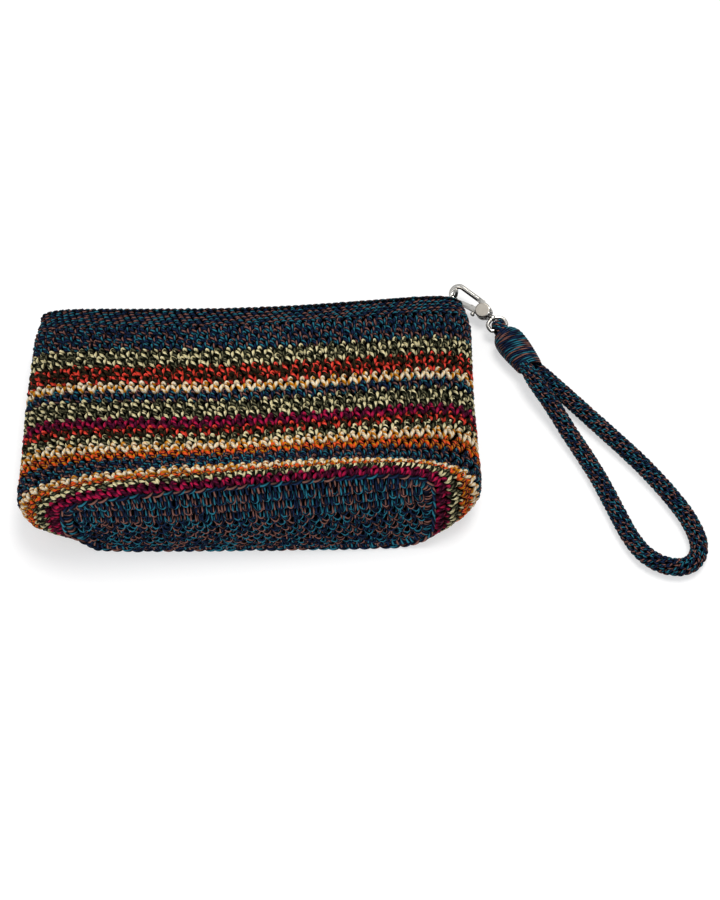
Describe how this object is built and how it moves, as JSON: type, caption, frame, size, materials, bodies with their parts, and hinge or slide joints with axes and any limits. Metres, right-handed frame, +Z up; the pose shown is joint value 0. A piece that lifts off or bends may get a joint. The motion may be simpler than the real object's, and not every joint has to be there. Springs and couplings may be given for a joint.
{
  "type": "crochet wristlet",
  "caption": "Striped crochet zip pouch with an oval base, lying on its back, with a cord wrist strap clipped to its mouth by a swivel snap.",
  "frame": {"origin": "middle of the back panel, on the surface that the pouch lies on", "axes": "+X along the zip towards the strap, +Y from the base to the mouth, +Z up out of the back panel"},
  "size_m": [0.3048, 0.157, 0.0457],
  "materials": {
    "yarn_navy": "navy, teal and brown marl cotton yarn",
    "yarn_green": "olive and cream marl cotton yarn",
    "yarn_red": "brown and coral marl cotton yarn",
    "yarn_cream": "cream and ochre marl cotton yarn",
    "yarn_burgundy": "maroon and crimson marl cotton yarn",
    "yarn_orange": "orange, ochre and maroon marl cotton yarn",
    "lining_cloth": "plain woven navy cotton",
    "zip_tape": "woven navy zip tape",
    "zip_coil": "navy nylon coil",
    "nickel": "bright nickel plate"
  },
  "bodies": {
    "pouch": {"crochet_base": "yarn_navy", "band_01_burgundy": "yarn_burgundy", "band_02_green": "yarn_green", "band_03_orange": "yarn_orange", "band_04_cream": "yarn_cream", "band_05_navy": "yarn_navy", "band_06_orange": "yarn_orange", "band_07_cream": "yarn_cream", "band_08_green": "yarn_green", "band_09_red": "yarn_red", "band_10_burgundy": "yarn_burgundy", "band_11_green": "yarn_green", "band_12_navy": "yarn_navy", "band_13_cream": "yarn_cream", "band_14_red": "yarn_red", "band_15_green": "yarn_green", "band_16_navy": "yarn_navy", "rim_border": "yarn_navy", "lining": "lining_cloth", "zip_tape": "zip_tape", "zip_stop_left": "nickel", "zip_stop_right": "nickel", "ring_tab": "yarn_navy"},
    "front_zip_edge": {"zip_edge_front": "zip_tape", "zip_coil_front": "zip_coil"},
    "back_zip_edge": {"zip_edge_back": "zip_tape", "zip_coil_back": "zip_coil"},
    "slider": {"zip_slider": "nickel"},
    "pull": {"zip_pull": "nickel"},
    "ring": {"anchor_ring": "nickel"},
    "hook": {"snap_hook": "nickel", "gate_pin": "nickel"},
    "gate": {"snap_gate": "nickel"},
    "swivel": {"stirrup": "nickel"},
    "strap": {"strap_eye": "yarn_navy", "whipping": "yarn_navy", "strap_cord": "yarn_navy"}
  },
  "joints": [
    {"name": "zip_slide", "type": "slide", "parent": "pouch", "child": "slider", "axis": [1, 0, 0], "range_m": [0, 0.164]},
    {"name": "pull_swing", "type": "hinge", "parent": "slider", "child": "pull", "pos_m": [-0.082, 0.05973, 0.01189], "axis": [0, 0, -1], "range_deg": [0, 110]},
    {"name": "front_edge_fold", "type": "hinge", "parent": "pouch", "child": "front_zip_edge", "pos_m": [0, 0.05553, 0.01812], "axis": [1, 0, 0], "range_deg": [0, 75]},
    {"name": "back_edge_fold", "type": "hinge", "parent": "pouch", "child": "back_zip_edge", "pos_m": [0, 0.05553, 0.00565], "axis": [-1, 0, 0], "range_deg": [0, 75]},
    {"name": "ring_swing", "type": "hinge", "parent": "pouch", "child": "ring", "pos_m": [0.0942, 0.06497, 0.0067], "axis": [0, 0, 1], "range_deg": [-5, 30]},
    {"name": "hook_swing", "type": "hinge", "parent": "ring", "child": "hook", "pos_m": [0.09944, 0.07349, 0.0067], "axis": [0, 0, 1], "range_deg": [-10, 100]},
    {"name": "gate_swing", "type": "hinge", "parent": "hook", "child": "gate", "pos_m": [0.11103, 0.06132, 0.00648], "axis": [0.2626, 0.2672, -0.9272], "range_deg": [0, 15], "stiffness_Nm_per_rad": 0.02, "springref_deg": -11.46},
    {"name": "swivel_spin", "type": "hinge", "parent": "hook", "child": "swivel", "pos_m": [0.10015, 0.07279, 0.0067], "axis": [0.7132, -0.7009, 0], "continuous": true},
    {"name": "strap_fold", "type": "hinge", "parent": "swivel", "child": "strap", "pos_m": [0.11843, 0.05182, 0.0067], "axis": [-0.8988, -0.4384, 0], "range_deg": [-60, 80]}
  ]
}
